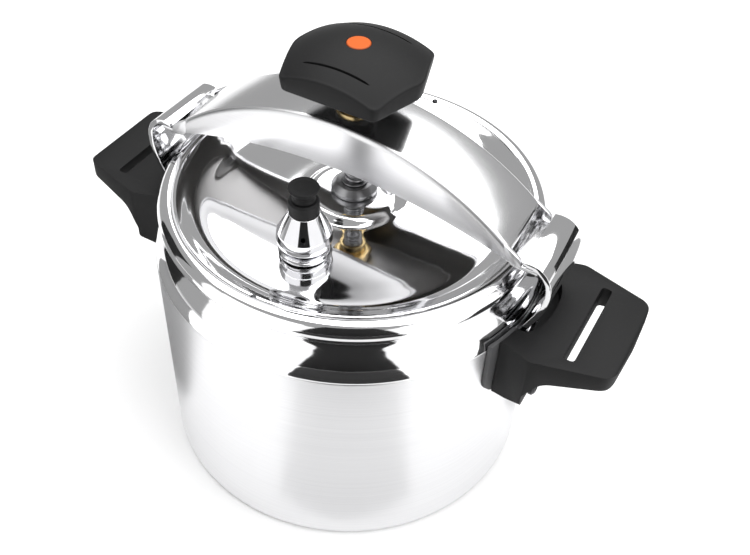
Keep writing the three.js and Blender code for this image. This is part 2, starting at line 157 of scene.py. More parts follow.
satin = {"seam": 0.1407, "lineScale": 2600.0, "fineScale": 5200.0, "worn": (0.74, 0.74, 0.75, 1),
         "wallRoughness": 0.27, "streaks": 0.12, "insideRoughness": 0.16, "wallRadius": 0.1115,
         "neckRadius": 0.1008, "marks": ((0.0966, 0.0976), (0.1006, 0.1014)), "markEdge": 0.0002}
mirror = {"colour": (0.90, 0.90, 0.91, 1), "roughness": 0.055, "lineScale": 900.0}
phenolic = {"dark": (0.0055, 0.0055, 0.0058, 1), "light": (0.012, 0.012, 0.0124, 1), "roughness": 0.5}
badgeLook = {"colour": (0.60, 0.105, 0.004, 1), "rim": (0.36, 0.06, 0.004, 1), "radius": 0.0057}


def potMetal():
    # Satin brushed round the wall, mirror polished above the seam, plain inside.
    shader = Shader("spunPotMetal")
    angle, radius, z = around(shader)
    polished = z.above(satin["seam"], 0.00025)
    inside = 1.0 - radius.above(satin["wallRadius"], 0.0003)
    inside = inside * (1.0 - polished * radius.above(satin["neckRadius"], 0.0003))
    wall = (1.0 - polished) * (1.0 - inside)
    along = shader.vector(angle * 0.35, radius * 30.0, z * satin["lineScale"])
    lines = shader.noise(along, 1.0, 3.0, 0.7)
    fine = shader.noise(shader.vector(angle * 6.0, radius * 10.0, z * satin["fineScale"]), 1.0, 2.0)
    clouds = shader.noise(shader.place, 18.0, 3.0)
    roughness = (mirror["roughness"] + wall * satin["wallRoughness"] + wall * (lines - 0.5) * satin["streaks"]
                 + inside * satin["insideRoughness"] + clouds * 0.02)
    shade = shader.blend(wall * lines, mirror["colour"], satin["worn"])
    rings = 0.0
    for low, high in satin["marks"]:
        rings = z.above(low, satin["markEdge"]) - z.above(high, satin["markEdge"]) + rings
    height = wall * (lines * 0.7 + fine * 0.3 + rings * 0.9) + polished * clouds * 0.05
    shader.set(Base_Color=shade, Metallic=1.0, Roughness=roughness, Normal=shader.bump(height, 0.25, 0.00006))
    return shader.material


def polishedMetal():
    # Mirror finish with faint turning marks round the axis and a slight haze.
    shader = Shader("mirrorAluminium")
    angle, radius, z = around(shader)
    rings = shader.noise(shader.vector(angle * 0.2, radius * mirror["lineScale"], z * 300.0), 1.0, 2.0)
    haze = shader.noise(shader.place, 24.0, 4.0)
    roughness = mirror["roughness"] - 0.02 + rings * 0.025 + haze * 0.03
    shader.set(Base_Color=mirror["colour"], Metallic=1.0, Roughness=roughness,
               Normal=shader.bump(rings * 0.4 + haze * 0.6, 0.05, 0.00005))
    return shader.material


def turnedMetal(name, colour, roughness):
    # Small turned fittings: fine tool marks in rings up the axis.
    shader = Shader(name)
    x, y, z = shader.split()
    marks = shader.noise(shader.vector(x * 40.0, y * 40.0, z * 4200.0), 1.0, 2.0)
    tone = shader.noise(shader.place, 160.0, 3.0)
    worn = tuple(c * 0.82 for c in colour[:3]) + (1,)
    shader.set(Base_Color=shader.blend(tone * 0.6, colour, worn), Metallic=1.0,
               Roughness=roughness + marks * 0.08, Normal=shader.bump(marks, 0.12, 0.00004))
    return shader.material


def blackPlastic():
    # Moulded phenolic: fine matte grain, slightly uneven gloss.
    shader = Shader("blackPhenolic")
    grain = shader.noise(shader.place, 2300.0, 3.0, 0.6)
    flow = shader.noise(shader.place, 45.0, 4.0)
    specks = shader.noise(shader.place, 900.0, 2.0).above(0.68, 0.04)
    shade = shader.blend(flow * 0.5 + specks * 0.25, phenolic["dark"], phenolic["light"])
    shader.set(Base_Color=shade, Roughness=phenolic["roughness"] + flow * 0.08 - specks * 0.05,
               Specular_IOR_Level=0.22,
               Normal=shader.bump(grain * 0.8 + flow * 0.2, 0.28, 0.00012))
    return shader.material


def rubberLook(name, colour):
    # Soft matte surface with a faint bloom.
    shader = Shader(name)
    bloom = shader.noise(shader.place, 90.0, 4.0)
    paler = tuple(min(1.0, c * 1.35) for c in colour[:3]) + (1,)
    shader.set(Base_Color=shader.blend(bloom, colour, paler), Roughness=0.55 + bloom * 0.15,
               Normal=shader.bump(bloom, 0.2, 0.0001))
    return shader.material


def orangeBadge():
    # Gloss inlay with a faint pressed whirl and a darker rim.
    shader = Shader("orangeInlay")
    angle, radius, _ = around(shader)
    rim = radius.above(badgeLook["radius"], 0.0002)
    whirl = shader.noise(shader.vector(angle * 2.0, radius * 600.0, 0.0), 1.0, 2.0)
    shade = shader.blend(rim, badgeLook["colour"], badgeLook["rim"])
    shader.set(Base_Color=shade, Roughness=0.42 + whirl * 0.12, Specular_IOR_Level=0.3,
               Normal=shader.bump(whirl, 0.3, 0.0001))
    return shader.material


looks = {
    "pot": potMetal(),
    "mirror": polishedMetal(),
    "steel": turnedMetal("zincedSteel", (0.40, 0.40, 0.41, 1), 0.26),
    "rivet": turnedMetal("rivetAluminium", (0.78, 0.78, 0.79, 1), 0.25),
    "chrome": turnedMetal("mirrorChrome", (0.86, 0.86, 0.88, 1), 0.02),
    "brass": turnedMetal("turnedBrass", (0.72, 0.55, 0.28, 1), 0.2),
    "blackSteel": turnedMetal("blackenedSteel", (0.05, 0.05, 0.052, 1), 0.35),
    "black": blackPlastic(),
    "seat": rubberLook("seatPlastic", (0.055, 0.055, 0.057, 1)),
    "silicone": rubberLook("greySilicone", (0.50, 0.51, 0.52, 1)),
    "orange": orangeBadge(),
}
print("materials made:", len(looks))


def keepPiece(piece, look, body, slot, *nodes):
    # Gives a finished mesh its look and its body, and hides the imported nodes it stands for.
    piece.data.materials.clear()
    piece.data.materials.append(looks[look])
    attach(piece, body)
    if nodes:
        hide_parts(*nodes)
    return piece


def shadeSmooth(mesh, sharpAngle=35.0):
    # Smooth faces, with every fold above the angle kept sharp.
    work = bmesh.new()
    work.from_mesh(mesh)
    for face in work.faces:
        face.smooth = True
    limit = math.radians(sharpAngle)
    for edge in work.edges:
        edge.smooth = len(edge.link_faces) != 2 or edge.calc_face_angle(0.0) < limit
    work.to_mesh(mesh)
    work.free()


def addObject(name, data):
    thing = bpy.data.objects.new(name, data)
    scene.collection.objects.link(thing)
    return thing


def makePiece(name, points, faces, sharpAngle=35.0, merge=0.002):
    mesh = bpy.data.meshes.new(name)
    mesh.from_pydata([Vector(p) * milli for p in points], [], faces)
    work = bmesh.new()
    work.from_mesh(mesh)
    bmesh.ops.remove_doubles(work, verts=work.verts, dist=merge * milli)
    bmesh.ops.recalc_face_normals(work, faces=work.faces)
    work.to_mesh(mesh)
    work.free()
    piece = addObject(name, mesh)
    shadeSmooth(mesh, sharpAngle)
    return piece


def softCorners(corners, steps=5, closed=True):
    # Corners are (a, b) or (a, b, radius); each radius becomes a round of its own.
    result = []
    count = len(corners)
    for i, corner in enumerate(corners):
        here = Vector(corner[:2])
        radius = corner[2] if len(corner) > 2 else 0.0
        ends = not closed and i in (0, count - 1)
        if radius <= 0 or ends:
            result.append(tuple(here))
            continue
        back = Vector(corners[i - 1][:2]) - here
        ahead = Vector(corners[(i + 1) % count][:2]) - here
        half = back.angle(ahead) / 2
        reach = min(radius / max(math.tan(half), 1e-6), back.length * 0.49, ahead.length * 0.49)
        start = here + back.normalized() * reach
        end = here + ahead.normalized() * reach
        for k in range(steps + 1):
            t = k / steps
            result.append(tuple(start * (1 - t) ** 2 + here * 2 * t * (1 - t) + end * t ** 2))
    return result


def flowing(points, steps=6):
    # A smooth curve through points, as a chain of short straight pieces.
    result = []
    last = len(points) - 1
    for i in range(last):
        p0, p1, p2, p3 = (Vector(points[min(max(j, 0), last)][:2]) for j in (i - 1, i, i + 1, i + 2))
        for k in range(steps):
            t = k / steps
            square, cube = 2 * p0 - 5 * p1 + 4 * p2 - p3, 3 * p1 - p0 - 3 * p2 + p3
            result.append(tuple(0.5 * ((2 * p1) + (p2 - p0) * t + square * t ** 2 + cube * t ** 3)))
    result.append(tuple(points[last][:2]))
    return result


def turned(name, profile, sides=96, centre=(0.0, 0.0), sharpAngle=35.0):
    # A closed profile of (radius, height) spun about a vertical axis.
    points = []
    faces = []
    rows = len(profile)
    for i in range(sides):
        angle = 2 * math.pi * i / sides
        for radius, height in profile:
            x, y = radius * math.cos(angle), radius * math.sin(angle)
            points.append((centre[0] + x, centre[1] + y, height))
    for i in range(sides):
        a = i * rows
        b = ((i + 1) % sides) * rows
        for k in range(rows):
            n = (k + 1) % rows
            if profile[k][0] < 1e-6 and profile[n][0] < 1e-6:
                continue
            faces.append((a + k, b + k, b + n, a + n))
    return makePiece(name, points, faces, sharpAngle)


def circle(radius, sides, turn=0.0):
    angles = [turn + 2 * math.pi * i / sides for i in range(sides)]
    return [(radius * math.cos(t), radius * math.sin(t)) for t in angles]


def sleeve(count):
    # The faces between two outlines of count corners, and both ends.
    sides = [(i, (i + 1) % count, (i + 1) % count + count, i + count) for i in range(count)]
    return sides + [tuple(range(count)), tuple(range(count, 2 * count))]


def prism(name, outline, axis, low, high, sharpAngle=35.0):
    # An outline drawn out along one axis: "x" takes (y, z), "y" takes (x, z), "z" takes (x, y).
    places = {"x": lambda a, b, d: (d, a, b), "y": lambda a, b, d: (a, d, b), "z": lambda a, b, d: (a, b, d)}
    points = [places[axis](a, b, end) for end in (low, high) for a, b in outline]
    return makePiece(name, points, sleeve(len(outline)), sharpAngle)


def rod(name, radius, start, end, sides=32):
    # A plain cylinder between two points, used as a cutting tool.
    start, end = Vector(start), Vector(end)
    turn = (end - start).to_track_quat("Z", "Y")
    ring = [turn @ Vector((x, y, 0)) for x, y in circle(radius, sides)]
    return makePiece(name, [p + spot for spot in (start, end) for p in ring], sleeve(sides))


def applyModifiers(piece):
    # The evaluated mesh becomes the piece's own.
    evaluated = piece.evaluated_get(bpy.context.evaluated_depsgraph_get())
    mesh = bpy.data.meshes.new_from_object(evaluated)
    mesh.name = piece.name
    old = piece.data
    piece.modifiers.clear()
    piece.data = mesh
    bpy.data.meshes.remove(old)


def carve(piece, tools, operation="DIFFERENCE"):
    # Cuts the piece with each tool, then throws the tools away.
    for tool in tools:
        step = piece.modifiers.new("carve", "BOOLEAN")
        step.object = tool
        step.operation = operation
        step.solver = "EXACT"
    applyModifiers(piece)
    for tool in tools:
        bpy.data.objects.remove(tool)


def softenEdges(piece, width, segments=3, angle=32.0, sharpAngle=32.0):
    # Rounds every edge that folds more than the angle.
    bevel = piece.modifiers.new("soften", "BEVEL")
    bevel.width = width * milli
    bevel.segments = segments
    bevel.limit_method = "ANGLE"
    bevel.angle_limit = math.radians(angle)
    bevel.miter_outer = "MITER_ARC"
    applyModifiers(piece)
    shadeSmooth(piece.data, sharpAngle)


def joinPieces(name, pieces):
    # Several meshes become one piece.
    work = bmesh.new()
    for piece in pieces:
        work.from_mesh(piece.data)
    mesh = bpy.data.meshes.new(name)
    work.to_mesh(mesh)
    work.free()
    for piece in pieces:
        bpy.data.objects.remove(piece)
    return addObject(name, mesh)


def halfTurn(piece, name):
    # A copy turned half round the pot's axis.
    mesh = piece.data.copy()
    mesh.transform(Matrix.Rotation(math.pi, 4, "Z"))
    mesh.name = name
    return addObject(name, mesh)


def keepPair(right, name, look, slot, node):
    # A piece on the right and its twin on the left.
    left = halfTurn(right, name)
    keepPiece(right, look, "pot", slot, node + "_right")
    keepPiece(left, look, "pot", slot, node + "_left")


view = {"azimuth": 29.08, "reach": 0.4241, "height": 0.5227, "turn": 2.205, "tilt": 44.466, "roll": 3.298,
        "lens": 46.9, "shift": -0.0047}


def addCamera():
    # Stands beyond the front right, looking down at the lid.
    data = bpy.data.cameras.new("studioCamera")
    data.lens = view["lens"]
    data.sensor_width = 36.0
    data.shift_x = view["shift"]
    camera = addObject("studioCamera", data)
    azimuth = math.radians(view["azimuth"])
    place = Matrix.Translation((view["reach"] * math.sin(azimuth), -view["reach"] * math.cos(azimuth),
                                view["height"]))
    heading = Matrix.Rotation(azimuth - math.radians(view["turn"]), 4, "Z")
    tilt = Matrix.Rotation(math.radians(90 - view["tilt"]), 4, "X")
    roll = Matrix.Rotation(math.radians(view["roll"]), 4, "Z")
    camera.matrix_world = place @ heading @ tilt @ roll
    scene.camera = camera


studio = {
    "worldStrength": 0.38, "floorSize": 7.0, "floorTone": (0.97, 0.97, 0.97, 1), "middle": (0, 0, 0.17),
    "roughness": 0.9, "glow": 1.15,
    "tones": {"dark": 0.004, "grey": 0.70, "edge": 0.22},
    # name: angle from the camera, reach, height, width, height, width at the top, tone
    "cards": {
        "cardFront": (0, 1.05, 0.55, 1.12, 1.25, 0.44, "dark"),
        "cardWhiteLeft": (-50, 1.2, 0.5, 1.34, 1.1, 1.34, "white"),
        "cardWhiteRight": (50, 1.2, 0.5, 1.34, 1.1, 1.34, "white"),
        "cardLeft": (-108, 1.15, 0.42, 0.42, 0.9, 0.42, "dark"),
        "cardRight": (108, 1.15, 0.16, 0.5, 0.36, 0.5, "dark"),
    },
    # name: angle from the camera, near and far distance, near and far width, tone
    "floorCards": {
        "cardLow": (0, 0.122, 0.27, 0.11, 0.24, "grey"),
        "cardFar": (0, 0.27, 1.2, 0.27, 0.98, "dark"),
        "cardEdgeLeft": (-97, 0.13, 1.1, 0.10, 0.55, "edge"),
        "cardEdgeRight": (97, 0.13, 1.1, 0.10, 0.55, "edge"),
    },
    # name: angle from the camera, reach, height, size, watts
    "sideLights": {
        "leftSoftbox": (-50, 1.25, 0.72, (1.0, 0.9), 4.6),
        "rightSoftbox": (52, 1.25, 0.72, (1.0, 0.9), 4.6),
    },
    "skyPlace": (0.25, 0.62, 1.6), "skyTarget": (0.25, 0.62, 0), "skySize": (2.9, 2.3), "skyWatts": 52,
}


def besideCamera(angle, reach, height):
    # A place at an angle to the camera's side of the object, positive to the right.
    turn = math.radians(view["azimuth"] + angle)
    return (reach * math.sin(turn), -reach * math.cos(turn), height)


def facing(centre, target, axis):
    turn = (Vector(target) - Vector(centre)).to_track_quat(axis, "Y")
    return Matrix.Translation(centre) @ turn.to_matrix().to_4x4()


def addSheet(name, corners, material):
    mesh = bpy.data.meshes.new(name)
    mesh.from_pydata(corners, [], [(0, 1, 2, 3)])
    mesh.materials.append(material)
    return addObject(name, mesh)


def reflectedOnly(card):
    # A card colours the metal but is never seen, and neither lights nor shades.
    card.visible_camera = False
    card.visible_shadow = False
    card.visible_diffuse = False


def addCard(name, angle, reach, height, width, tall, topWidth, material):
    # A standing card that faces the object.
    w, h, t = width / 2, tall / 2, topWidth / 2
    card = addSheet(name, [(-w, -h, 0), (w, -h, 0), (t, h, 0), (-t, h, 0)], material)
    card.matrix_world = facing(besideCamera(angle, reach, height), studio["middle"], "Z")
    reflectedOnly(card)


def addFloorCard(name, angle, near, far, nearWidth, farWidth, material):
    # A card lying beside the object, for the reflections low on its wall.
    corners = [(near, -nearWidth), (near, nearWidth), (far, farWidth), (far, -farWidth)]
    azimuth = math.radians(view["azimuth"] + angle)
    ahead = Vector((math.sin(azimuth), -math.cos(azimuth), 0.0))
    aside = Vector((math.cos(azimuth), math.sin(azimuth), 0.0))
    lift = Vector((0, 0, 0.002))
    reflectedOnly(addSheet(name, [ahead * a + aside * b / 2 + lift for a, b in corners], material))


def addLight(name, centre, target, size, power):
    data = bpy.data.lights.new(name, "AREA")
    data.shape = "RECTANGLE"
    data.size, data.size_y = size
    data.energy = power
    addObject(name, data).matrix_world = facing(centre, target, "-Z")


def cardMaterial(name, colour, **more):
    shader = Shader(name)
    shader.set(Base_Color=colour, **more)
    return shader.material


def addStudio():
    world = bpy.data.worlds.new("paleStudio")
    world.use_nodes = True
    world.node_tree.nodes["Background"].inputs["Color"].default_value = (1, 1, 1, 1)
    world.node_tree.nodes["Background"].inputs["Strength"].default_value = studio["worldStrength"]
    scene.world = world
    half = studio["floorSize"] / 2
    paleFloor = cardMaterial("paleFloor", studio["floorTone"], Roughness=studio["roughness"])
    corners = [(-half, -half, 0), (half, -half, 0), (half, half, 0), (-half, half, 0)]
    floor = addSheet("floor", corners, paleFloor)
    tones = {name: cardMaterial(name + "Card", (tone, tone, tone, 1), Roughness=studio["roughness"])
             for name, tone in studio["tones"].items()}
    tones["white"] = cardMaterial("whiteCard", (0, 0, 0, 1), Emission_Color=(1, 1, 1, 1),
                                  Emission_Strength=studio["glow"], Roughness=1.0)
    for name, (*sizes, tone) in studio["cards"].items():
        addCard(name, *sizes, tones[tone])
    for name, (*sizes, tone) in studio["floorCards"].items():
        addFloorCard(name, *sizes, tones[tone])
    addLight("skySoftbox", studio["skyPlace"], studio["skyTarget"], studio["skySize"], studio["skyWatts"])
    for name, (angle, reach, height, size, watts) in studio["sideLights"].items():
        addLight(name, besideCamera(angle, reach, height), studio["middle"], size, watts)


addCamera()
addStudio()
print("camera and studio ready")


pot = {"radius": 112.98, "wall": 3.0, "floor": 5.0, "foot": 6.0, "seamZ": 140.7, "lineZ": 97.0,
       "rimTop": 167.0, "neck": 102.2, "neckZ": 160, "shoulderZ": 138, "rimRound": 1.2, "wellRound": 8,
       "sides": 224}


def buildPot():
    # Foot, wall, stepped seam, shoulder drawn in to the neck, rim, and back down inside.
    r, wall, neck = pot["radius"], pot["wall"], pot["neck"]
    inside = r - wall
    foot = softCorners([(0, 0), (r - 9, 0), (r - 8.4, 0.5), (r, 0.5, pot["foot"]), (r, 30)], 8, False)
    line = [(r, pot["lineZ"])]
    seam = [(r, pot["seamZ"] - 0.5), (r - 0.3, pot["seamZ"] - 0.1)]
    shoulder = flowing([(r - 0.3, 141.4), (r - 0.9, 145), (r - 2.2, 149.2), (r - 4.4, 153), (r - 7.4, 156.6),
                        (r - 9.6, 159.2), (neck + 0.2, 162.5), (neck, 165)], 7)
    rim = softCorners([(neck, 165), (neck, pot["rimTop"], pot["rimRound"]),
                       (neck - wall, pot["rimTop"], pot["rimRound"]), (neck - wall, pot["neckZ"])], 5, False)
    inner = flowing([(neck - wall, pot["neckZ"]), (neck - wall + 0.4, 157.6), (104.6, 152.6), (108.6, 147.4),
                     (inside, 141), (inside, pot["shoulderZ"])], 6)
    well = softCorners([(inside, pot["shoulderZ"]), (inside, pot["floor"], pot["wellRound"]),
                        (0, pot["floor"])], 8, False)
    profile = foot[:-1] + line + seam + shoulder[:-1] + rim + inner[1:] + well[1:]
    piece = turned("potShell", profile, pot["sides"])
    return keepPiece(piece, "pot", "pot", "satin_aluminium", "pot_body")


buildPot()
print("pot spun")


lid = {"skirtBottom": 165.2, "outer": 108.8, "crest": 176.8, "floorZ": 168.0, "plateauZ": 175.2, "sides": 224,
       "valveOffset": 52.0, "valveHole": 6.3, "spotFace": 14.7, "spotDepth": 1.4, "drip": 99.5, "dripHole": 1.6}


def buildLid():
    # Raised centre, shallow dish, bead, rolled edge, and back underneath.
    top, base, crest, skirt = lid["plateauZ"], lid["floorZ"], lid["crest"], lid["skirtBottom"]
    dish = flowing([(0, top), (12, top), (21, top - 0.05), (23.8, top - 0.5), (25.8, top - 1.7),
                    (27.3, top - 3), (29, top - 4.1), (31.6, base + 2.6), (42, base + 2.1), (54, base + 1.3),
                    (66, base + 0.5), (75, base), (83, base), (88, base + 1.2), (92, base + 3.4),
                    (95.6, base + 5.9), (98.2, crest - 1.2)], 7)
    bead = [(98.6, crest - 1.3), (99.2, crest - 1.3)]
    roll = flowing([(99.6, crest - 0.8), (101, crest - 0.25), (103, crest), (105.3, crest - 0.8),
                    (107.2, crest - 2.4), (108.5, crest - 4.5), (lid["outer"], crest - 6.4),
                    (108.6, crest - 8.2), (107.8, crest - 10), (107, skirt + 0.4)], 6)
    hem = [(106.8, skirt), (105.2, skirt)]
    under = flowing([(104.8, skirt + 0.4), (105.9, crest - 8.8), (106.3, crest - 6.4), (105.7, crest - 4.6),
                     (104.3, crest - 3.2), (102, crest - 2.5), (99.4, crest - 3.2), (92.8, base + 0.9),
                     (85.4, base - 2.3), (75, base - 2.4), (53, base - 1.1), (31, base + 0.2),
                     (27.2, top - 5.9), (23.6, top - 3.1), (18, top - 2.4), (0, top - 2.4)], 5)
    piece = turned("lidShell", dish + bead + roll + hem + under, lid["sides"])
    holes = []
    for side in (-1, 1):
        y, drip = side * lid["valveOffset"], side * lid["drip"]
        holes.append(rod("tool", lid["valveHole"], (0, y, 150), (0, y, 190)))
        holes.append(rod("tool", lid["spotFace"], (0, y, base + lid["spotDepth"]), (0, y, 190), 96))
        holes.append(rod("tool", lid["dripHole"], (0, drip, 165), (0, drip, 190)))
    carve(piece, holes)
    shadeSmooth(piece.data, 35.0)
    return keepPiece(piece, "mirror", "lid", "polished_aluminium", "lid_shell")


def buildGasket():
    profile = softCorners([(98.9, 167.7, 0.6), (104, 167.5, 0.6), (105.1, 168.5, 0.5), (104.7, 170.1, 0.8),
                           (102.4, 171.8, 0.6), (98.9, 169.8, 0.6)], 4)
    piece = turned("sealingRing", profile, 160)
    return keepPiece(piece, "silicone", "lid", "sealing_ring", "lid_gasket")


buildLid()
buildGasket()
print("lid pressed")


hook = {"halfWidth": 22.0, "foot": 111.0, "bevel": 0.8}


def buildHooks():
    # A strap up the wall, out past the lid's edge and back over the bridge's end.
    outer = flowing([(116.3, hook["foot"]), (116.3, 128), (116.4, 136), (117.2, 143), (120, 150), (123.6, 158),
                     (126, 166), (126.9, 173.5), (126.1, 180.5), (123.2, 186.2), (118.8, 189.8), (113.8, 191),
                     (109.1, 190.6)], 7)
    inner = flowing([(109.4, 187.7), (113.6, 188), (117.4, 186.9), (120.8, 184.2), (123.2, 179.8),
                     (123.9, 173.6), (123, 166.8), (120.8, 159.3), (117.2, 151.2), (114.3, 144), (113.4, 136),
                     (113.3, 128), (113.3, hook["foot"])], 7)
    right = prism("hookRight", outer + inner, "y", -hook["halfWidth"], hook["halfWidth"])
    softenEdges(right, hook["bevel"], 3, 50.0, 40.0)
    keepPair(right, "hookLeft", "mirror", "polished_aluminium", "hook")


buildHooks()
print("hooks bent")


handle = {"topZ": 146.0, "bottomZ": 104.0, "faceX": 128.0, "innerRadius": 116.0, "halfWidth": 42.0,
          "rootRound": 14.0, "slotX": 145.0, "slotWidth": 6.0, "slotLength": 60.0, "slotRound": 2.2,
          "recessHalf": 23.5, "recessX": 117, "screwHole": 2.6, "soft": 1.6}


def rootOutline(half, bottom):
    # The handle's outline against the pot, with round lower corners.
    turn = handle["rootRound"]
    return softCorners([(-half, bottom, turn), (half, bottom, turn), (half, 160), (-half, 160)], 8)


def buildHandles():
    # Cut from the plan by the side view, then hollowed for the hook, the slot and the screws.
    plan = softCorners([(96, -36), (112, -37, 6), (128, -42, 9), (169.7, -31, 9), (171.1, 0, 60),
                        (169.7, 31, 9), (128, 42, 9), (112, 37, 6), (96, 36)], 8)
    side = softCorners([(90, handle["topZ"]), (90, handle["bottomZ"]), (handle["faceX"], handle["bottomZ"], 5),
                        (handle["faceX"], 118, 6), (136, 131, 12), (168.5, 136.4, 3), (172.2, 141, 3),
                        (170, handle["topZ"], 3)], 7)
    body = prism("handleRight", plan, "z", handle["bottomZ"] - 2, handle["topZ"] + 2)
    root = rootOutline(handle["halfWidth"] + 0.5, handle["bottomZ"])
    carve(body, [prism("tool", side, "y", -60, 60)], "INTERSECT")
    carve(body, [prism("tool", root, "x", 80, 200)], "INTERSECT")
    half, reach = handle["slotWidth"] / 2, handle["slotLength"] / 2
    slot = softCorners([(handle["slotX"] + a * half, b * reach, handle["slotRound"])
                        for a, b in ((-1, -1), (1, -1), (1, 1), (-1, 1))], 5)
    deep = handle["recessHalf"]
    bend = [(handle["recessX"] + 9 * math.cos(t), deep * math.sin(t))
            for t in (math.pi * (i / 24 - 0.5) for i in range(25))]
    recess = [(110, -deep)] + bend + [(110, deep)]
    pocket = [(100, -22.6), (118.8, -22.6), (118.8, 22.6), (100, 22.6)]
    carve(body, [
        prism("tool", circle(handle["innerRadius"], 160), "z", 90, 160),
        prism("tool", pocket, "z", 90, 160),
        prism("tool", slot, "z", 120, 160),
        prism("tool", recess, "z", 137, 160),
        rod("tool", handle["screwHole"], (100, -26, 111), (140, -26, 111)),
        rod("tool", handle["screwHole"], (100, 26, 111), (140, 26, 111)),
    ])
    softenEdges(body, handle["soft"], 4, 38.0, 50.0)
    keepPair(body, "handleLeft", "black", "black_phenolic", "handle")


seatPlate = {"inner": 113.4, "outer": 115.5, "bottom": 104.4, "top": 145.0, "halfSpan": 44, "steps": 40}


def buildSeats():
    # A thin curved plate between each handle and the wall.
    inner, outer, count = seatPlate["inner"], seatPlate["outer"], seatPlate["steps"]
    reach = math.asin(seatPlate["halfSpan"] / outer)
    steps = [reach * (2 * i / count - 1) for i in range(count + 1)]
    plan = [(outer * math.cos(t), outer * math.sin(t)) for t in steps]
    plan += [(inner * math.cos(t), inner * math.sin(t)) for t in reversed(steps)]
    right = prism("handleSeatRight", plan, "z", seatPlate["bottom"], seatPlate["top"])
    opening = [(100, -22.5), (120, -22.5), (120, 22.5), (100, 22.5)]
    root = rootOutline(handle["halfWidth"], seatPlate["bottom"])
    carve(right, [prism("tool", opening, "z", 110.5, 160)])
    carve(right, [prism("tool", root, "x", 100, 130)], "INTERSECT")
    softenEdges(right, 0.4, 2, 50.0, 40.0)
    keepPair(right, "handleSeatLeft", "seat", "handle_seat", "handle_seat")


buildHandles()
buildSeats()
print("handles moulded")


bridge = {"halfWidth": 21.5, "sheet": 2.5, "crownZ": 231.0, "arc": 158.0, "hemZ": 203.0, "hemArc": 320.0,
          "endX": 109.0, "plateEnd": 99.5, "crease": 3.2, "crown": 0.35, "stations": 130}
# under is the colour of painted shade on the hidden faces under the arch.
brushed = {"colour": (0.86, 0.86, 0.87, 1), "worn": (0.76, 0.76, 0.77, 1), "under": (0.36, 0.355, 0.35, 1),
           "lineScale": 3200.0, "flankY": 0.0195, "underY": 0.0194, "underX": 0.0985}


def bridgeMetal():
    # Flanges brushed along the arch, the top polished brighter, the underside rougher and darkened with painted
    # shade.
    shader = Shader("brushedBridge")
    x, y, z = shader.split()
    flank = (y * y).above(brushed["flankY"] ** 2, 0.00003)
    grain = shader.vector(x * 22.0, y * brushed["lineScale"], z * brushed["lineScale"])
    along = shader.noise(grain, 1.0, 3.0, 0.65)
    smear = shader.noise(shader.vector(x * 30.0, y * 60.0, z * 60.0), 1.0, 3.0)
    reach = bridge["arc"] * milli
    ceiling = (reach * reach - x * x) ** 0.5 + (bridge["crownZ"] * milli - reach - 0.0016)
    # Painted shade: faces under the arch, inside the flanges and below the top sheet, are greyed darker.
    under = (1.0 - (y * y).above(brushed["underY"] ** 2, 0.000002)) * (1.0 - (z - ceiling).above(0.0, 0.0004))
    under = under * (1.0 - (x * x).above(brushed["underX"] ** 2, 0.00002))
    roughness = 0.14 + flank * 0.18 + (along - 0.5) * 0.12 + smear * 0.06 + under * 0.15
    outside = shader.blend(along * flank, brushed["colour"], brushed["worn"])
    shader.set(Base_Color=shader.blend(under, outside, brushed["under"]), Metallic=1.0, Roughness=roughness,
               Normal=shader.bump(along * (0.1 + flank * 0.9), 0.18, 0.00004))
    return shader.material


looks["bridge"] = bridgeMetal()


def archZ(x, crown, radius):
    # The height at x of an arc whose top is at crown.
    return crown - radius + math.sqrt(radius * radius - x * x)


def quarterRound(radius, steps):
    # From a wall to a top, as distances in from the wall and down from the top.
    angles = [math.pi / 2 * i / steps for i in range(steps + 1)]
    return [(radius * (1 - math.cos(t)), radius * (1 - math.sin(t))) for t in angles]


def bridgeSection(x):
    # One cut across the channel: outside from the front hem to the back hem, then back inside.
    top = archZ(x, bridge["crownZ"], bridge["arc"])
    hem = archZ(x, bridge["hemZ"], bridge["hemArc"])
    w, s, c = bridge["halfWidth"], bridge["sheet"], bridge["crease"]
    crown, tight = bridge["crown"], max(c - s, 0.6)
    front = [(-w, hem + 0.5), (-w + 0.02, (hem + top) / 2)]
    front += [(-w + a, top - b) for a, b in quarterRound(c, 6)]
    back = [(-w + s, hem + 0.5), (-w + s, (hem + top - s) / 2)]
    back += [(-w + s + a, top - s - b) for a, b in quarterRound(tight, 3)]
    outside = front + [(0.0, top + crown)] + [(-a, b) for a, b in reversed(front)]
    inside = back + [(0.0, top - s + crown)] + [(-a, b) for a, b in reversed(back)]
    return [(x, y, z) for y, z in outside] + [(x, y, z) for y, z in reversed(inside)]


def buildChannel():
    # The arched channel, as one closed tube of cuts along X.
    count = bridge["stations"]
    end = bridge["plateEnd"]
    rings = [bridgeSection(-end + 2 * end * i / count) for i in range(count + 1)]
    size = len(rings[0])
    points = [p for ring in rings for p in ring]
    faces = []
    for i in range(count):
        for k in range(size):
            n = (k + 1) % size
            faces.append((i * size + k, i * size + n, (i + 1) * size + n, (i + 1) * size + k))
    half = size // 2
    for base in (0, count * size):
        for k in range(half - 1):
            faces.append((base + k, base + k + 1, base + size - 2 - k, base + size - 1 - k))
    return makePiece("channel", points, faces)


def buildFlangeEnds():
    # The flanges taper down into the hooks.
    start, end = 98.0, bridge["endX"]
    startTop = archZ(start, bridge["crownZ"], bridge["arc"]) - 0.4
    startHem = archZ(start, bridge["hemZ"], bridge["hemArc"]) + 0.1
    outline = softCorners([(start, startHem), (107, 184.9, 3), (end, 186.4, 2.2), (end - 1.5, 190.4, 4),
                           (101.5, 194.4, 5), (start, startTop)], 6)
    pieces = []
    for low, high in ((-bridge["halfWidth"], bridge["sheet"] - bridge["halfWidth"]),
                      (bridge["halfWidth"] - bridge["sheet"], bridge["halfWidth"])):
        ear = prism("ear", outline, "y", low, high)
        softenEdges(ear, 0.5, 2, 50.0, 40.0)
        pieces.append(ear)
    return pieces


